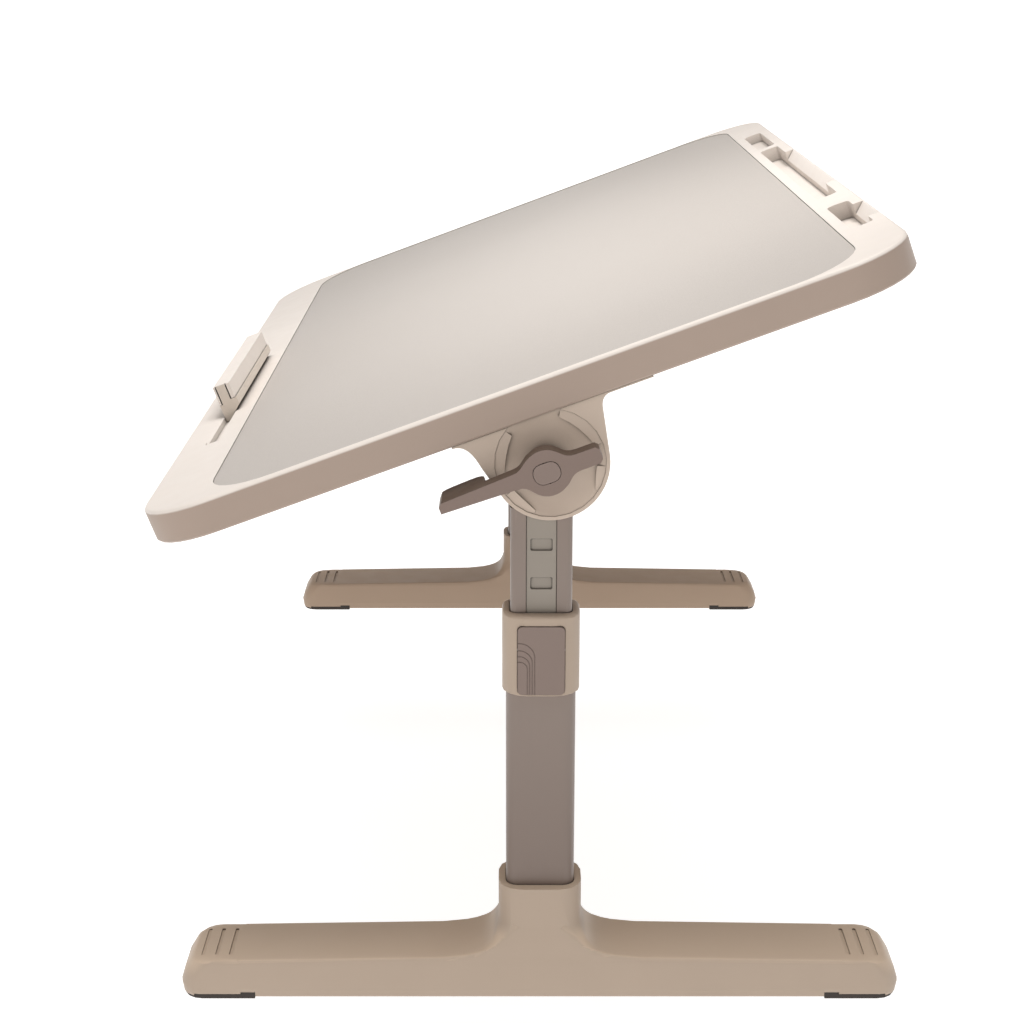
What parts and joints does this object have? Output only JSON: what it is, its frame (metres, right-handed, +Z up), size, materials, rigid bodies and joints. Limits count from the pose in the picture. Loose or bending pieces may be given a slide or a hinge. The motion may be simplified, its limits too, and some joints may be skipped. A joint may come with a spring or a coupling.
{
  "type": "folding bed table",
  "caption": "Bed table with a tilting top, height-adjustable folding legs with clamp levers, a tablet slot and a sliding book stop.",
  "frame": {"origin": "on the floor, under the middle of the bounding box, in the tilted pose of the picture", "axes": "+Z up, +Y along the long side of the top from the near leg to the far leg, +X away from the user, up the slope of the top"},
  "size_m": [0.4838, 0.8426, 0.4946],
  "materials": {
    "cream_plastic": "satin moulded",
    "panel": "fine matt skin",
    "tan_plastic": "satin moulded",
    "taupe_plastic": "satin moulded",
    "painted_tube": "satin powder coat",
    "inlay_plastic": "satin moulded",
    "rubber": "matt",
    "steel": "zinc plated",
    "dark_steel": "black oxide",
    "brass": "machined",
    "friction_pad": "matt moulded"
  },
  "bodies": {
    "tabletop": {"top_frame": "cream_plastic", "surface_panel": "panel", "near_hinge_mount": "steel", "near_mount_screw_inboard": "dark_steel", "near_mount_screw_outboard": "dark_steel", "near_fold_pin": "steel", "far_hinge_mount": "steel", "far_mount_screw_inboard": "dark_steel", "far_mount_screw_outboard": "dark_steel", "far_fold_pin": "steel"},
    "book_stop": {"book_stop": "tan_plastic", "book_stop_clip": "cream_plastic"},
    "near_hub": {"near_hub_housing": "tan_plastic", "near_friction_disc_outer": "friction_pad", "near_friction_disc_inner": "friction_pad", "near_clamp_bolt": "steel", "near_thrust_washer": "steel"},
    "near_lever": {"near_clamp_lever": "taupe_plastic", "near_lever_cap": "taupe_plastic", "near_lever_insert": "brass"},
    "near_upper_leg": {"near_leg_head": "taupe_plastic", "near_upper_tube": "painted_tube", "near_slot_strip": "inlay_plastic", "near_guide_shoe": "friction_pad"},
    "near_lower_leg": {"near_collar": "tan_plastic", "near_rocker_pin": "steel", "near_lower_tube": "painted_tube", "near_tube_plug": "friction_pad", "near_foot": "tan_plastic", "near_foot_pad_low": "rubber", "near_foot_pad_high": "rubber", "near_foot_bolt": "dark_steel"},
    "near_button": {"near_release_button": "taupe_plastic", "near_latch": "steel", "near_button_spring": "steel"},
    "far_hub": {"far_hub_housing": "tan_plastic", "far_friction_disc_outer": "friction_pad", "far_friction_disc_inner": "friction_pad", "far_clamp_bolt": "steel", "far_thrust_washer": "steel"},
    "far_lever": {"far_clamp_lever": "taupe_plastic", "far_lever_cap": "taupe_plastic", "far_lever_insert": "brass"},
    "far_upper_leg": {"far_leg_head": "taupe_plastic", "far_upper_tube": "painted_tube", "far_slot_strip": "inlay_plastic", "far_guide_shoe": "friction_pad"},
    "far_lower_leg": {"far_collar": "tan_plastic", "far_rocker_pin": "steel", "far_lower_tube": "painted_tube", "far_tube_plug": "friction_pad", "far_foot": "tan_plastic", "far_foot_pad_low": "rubber", "far_foot_pad_high": "rubber", "far_foot_bolt": "dark_steel"},
    "far_button": {"far_release_button": "taupe_plastic", "far_latch": "steel", "far_button_spring": "steel"}
  },
  "joints": [
    {"name": "near_fold", "type": "hinge", "parent": "tabletop", "child": "near_hub", "pos_m": [-0.00136, -0.346, 0.39008], "axis": [-0.9379, 0, -0.3469], "range_deg": [-90, 0]},
    {"name": "near_tilt", "type": "hinge", "parent": "near_hub", "child": "near_upper_leg", "pos_m": [0.0094, -0.3775, 0.361], "axis": [0, 1, 0], "range_deg": [-20.3, 15]},
    {"name": "near_height", "type": "slide", "parent": "near_upper_leg", "child": "near_lower_leg", "axis": [0, 0, -1], "range_m": [-0.05, 0.05]},
    {"name": "near_lever_turn", "type": "hinge", "parent": "near_hub", "child": "near_lever", "pos_m": [0.0094, -0.3775, 0.361], "axis": [0, -1, 0], "range_deg": [0, 45]},
    {"name": "near_button_rock", "type": "hinge", "parent": "near_lower_leg", "child": "near_button", "pos_m": [0.0069, -0.3946, 0.24], "axis": [1, 0, 0], "range_deg": [0, 6], "stiffness_Nm_per_rad": 0.5, "springref_deg": -5.73},
    {"name": "far_fold", "type": "hinge", "parent": "tabletop", "child": "far_hub", "pos_m": [-0.00136, 0.346, 0.39008], "axis": [0.9379, 0, 0.3469], "range_deg": [-90, 0]},
    {"name": "far_tilt", "type": "hinge", "parent": "far_hub", "child": "far_upper_leg", "pos_m": [0.0094, 0.3775, 0.361], "axis": [0, 1, 0], "range_deg": [-20.3, 15]},
    {"name": "far_height", "type": "slide", "parent": "far_upper_leg", "child": "far_lower_leg", "axis": [0, 0, -1], "range_m": [-0.05, 0.05]},
    {"name": "far_lever_turn", "type": "hinge", "parent": "far_hub", "child": "far_lever", "pos_m": [0.0094, 0.3775, 0.361], "axis": [0, -1, 0], "range_deg": [0, 45]},
    {"name": "far_button_rock", "type": "hinge", "parent": "far_lower_leg", "child": "far_button", "pos_m": [0.0069, 0.3946, 0.24], "axis": [-1, 0, 0], "range_deg": [0, 6], "stiffness_Nm_per_rad": 0.5, "springref_deg": -5.73},
    {"name": "book_stop_slide", "type": "slide", "parent": "tabletop", "child": "book_stop", "axis": [0, -1, 0], "range_m": [0, 0.072]}
  ],
  "couplings": [
    {"joint": "far_tilt", "follows": "near_tilt", "ratio": 1},
    {"joint": "far_height", "follows": "near_height", "ratio": 1}
  ]
}
